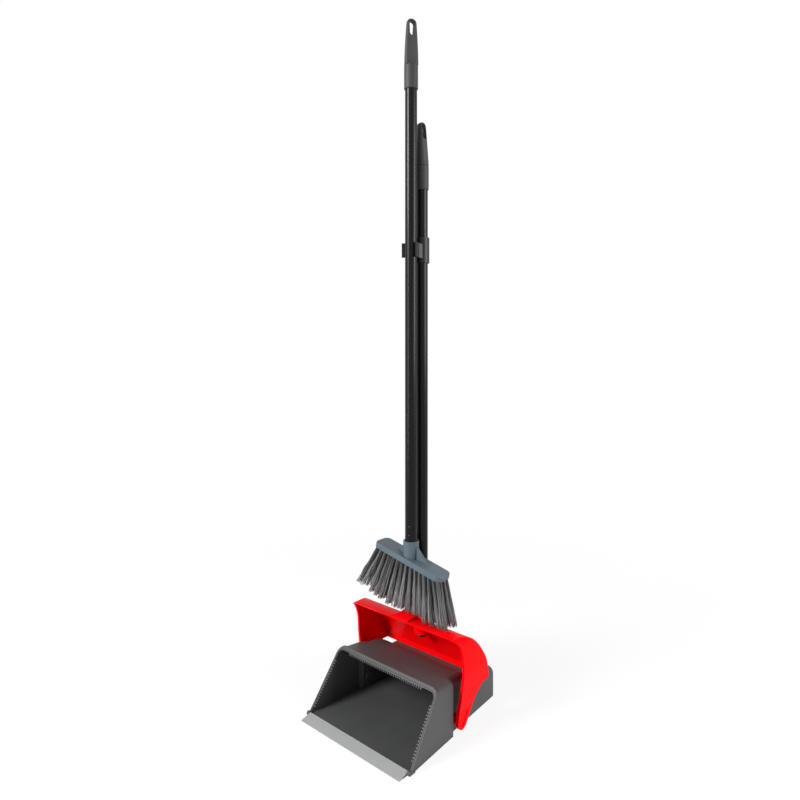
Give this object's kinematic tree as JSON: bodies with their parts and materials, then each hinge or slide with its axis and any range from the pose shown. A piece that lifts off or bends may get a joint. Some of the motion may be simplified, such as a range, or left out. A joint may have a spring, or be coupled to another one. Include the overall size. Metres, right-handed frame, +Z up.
{
  "type": "dust pan and brush set",
  "caption": "Upright hooded dust pan on a pivoting yoke and stick, with an angled broom held beside it in a sliding clip.",
  "frame": {"origin": "middle of the pan's footprint, on the floor", "axes": "+Z up, +X to the right, the mouth of the pan faces -Y"},
  "size_m": [0.2498, 0.29, 1.2405],
  "materials": {
    "pan_plastic": "fine satin moulded polypropylene, dark grey",
    "lip_rubber": "soft matt light grey lip",
    "yoke_plastic": "smooth semi-gloss red moulding",
    "stick_paint": "glossy black coated steel tube",
    "plug_plastic": "plain black plastic",
    "grip_plastic": "matt dark grey grip",
    "clip_plastic": "satin black spring clip",
    "head_plastic": "satin blue-grey moulding",
    "bristle_fibre": "mid grey synthetic bristle"
  },
  "bodies": {
    "pan": {"pan_body": "pan_plastic", "pan_lip": "lip_rubber"},
    "handle": {"yoke": "yoke_plastic", "pan_stick": "stick_paint", "pan_stick_plug": "plug_plastic", "pan_grip": "grip_plastic"},
    "clip": {"stick_clip": "clip_plastic"},
    "broom": {"broom_stick": "stick_paint", "broom_stick_plug": "plug_plastic", "broom_grip": "grip_plastic", "broom_head": "head_plastic", "bristles_01": "bristle_fibre", "bristles_02": "bristle_fibre", "bristles_03": "bristle_fibre", "bristles_04": "bristle_fibre", "bristles_05": "bristle_fibre", "bristles_06": "bristle_fibre", "bristles_07": "bristle_fibre", "bristles_08": "bristle_fibre", "bristles_09": "bristle_fibre", "bristles_10": "bristle_fibre", "bristles_11": "bristle_fibre", "bristles_12": "bristle_fibre", "bristles_13": "bristle_fibre", "bristles_14": "bristle_fibre", "bristles_15": "bristle_fibre"}
  },
  "joints": [
    {"name": "pan_tilt", "type": "hinge", "parent": "pan", "child": "handle", "pos_m": [0, 0.011, 0.02], "axis": [1, 0, 0], "range_deg": [0, 70]},
    {"name": "clip_slide", "type": "slide", "parent": "handle", "child": "clip", "axis": [0, 0, 1], "range_m": [0, 0.087]},
    {"name": "broom_release", "type": "slide", "parent": "clip", "child": "broom", "axis": [0, -1, 0], "range_m": [0, 0.12]}
  ]
}
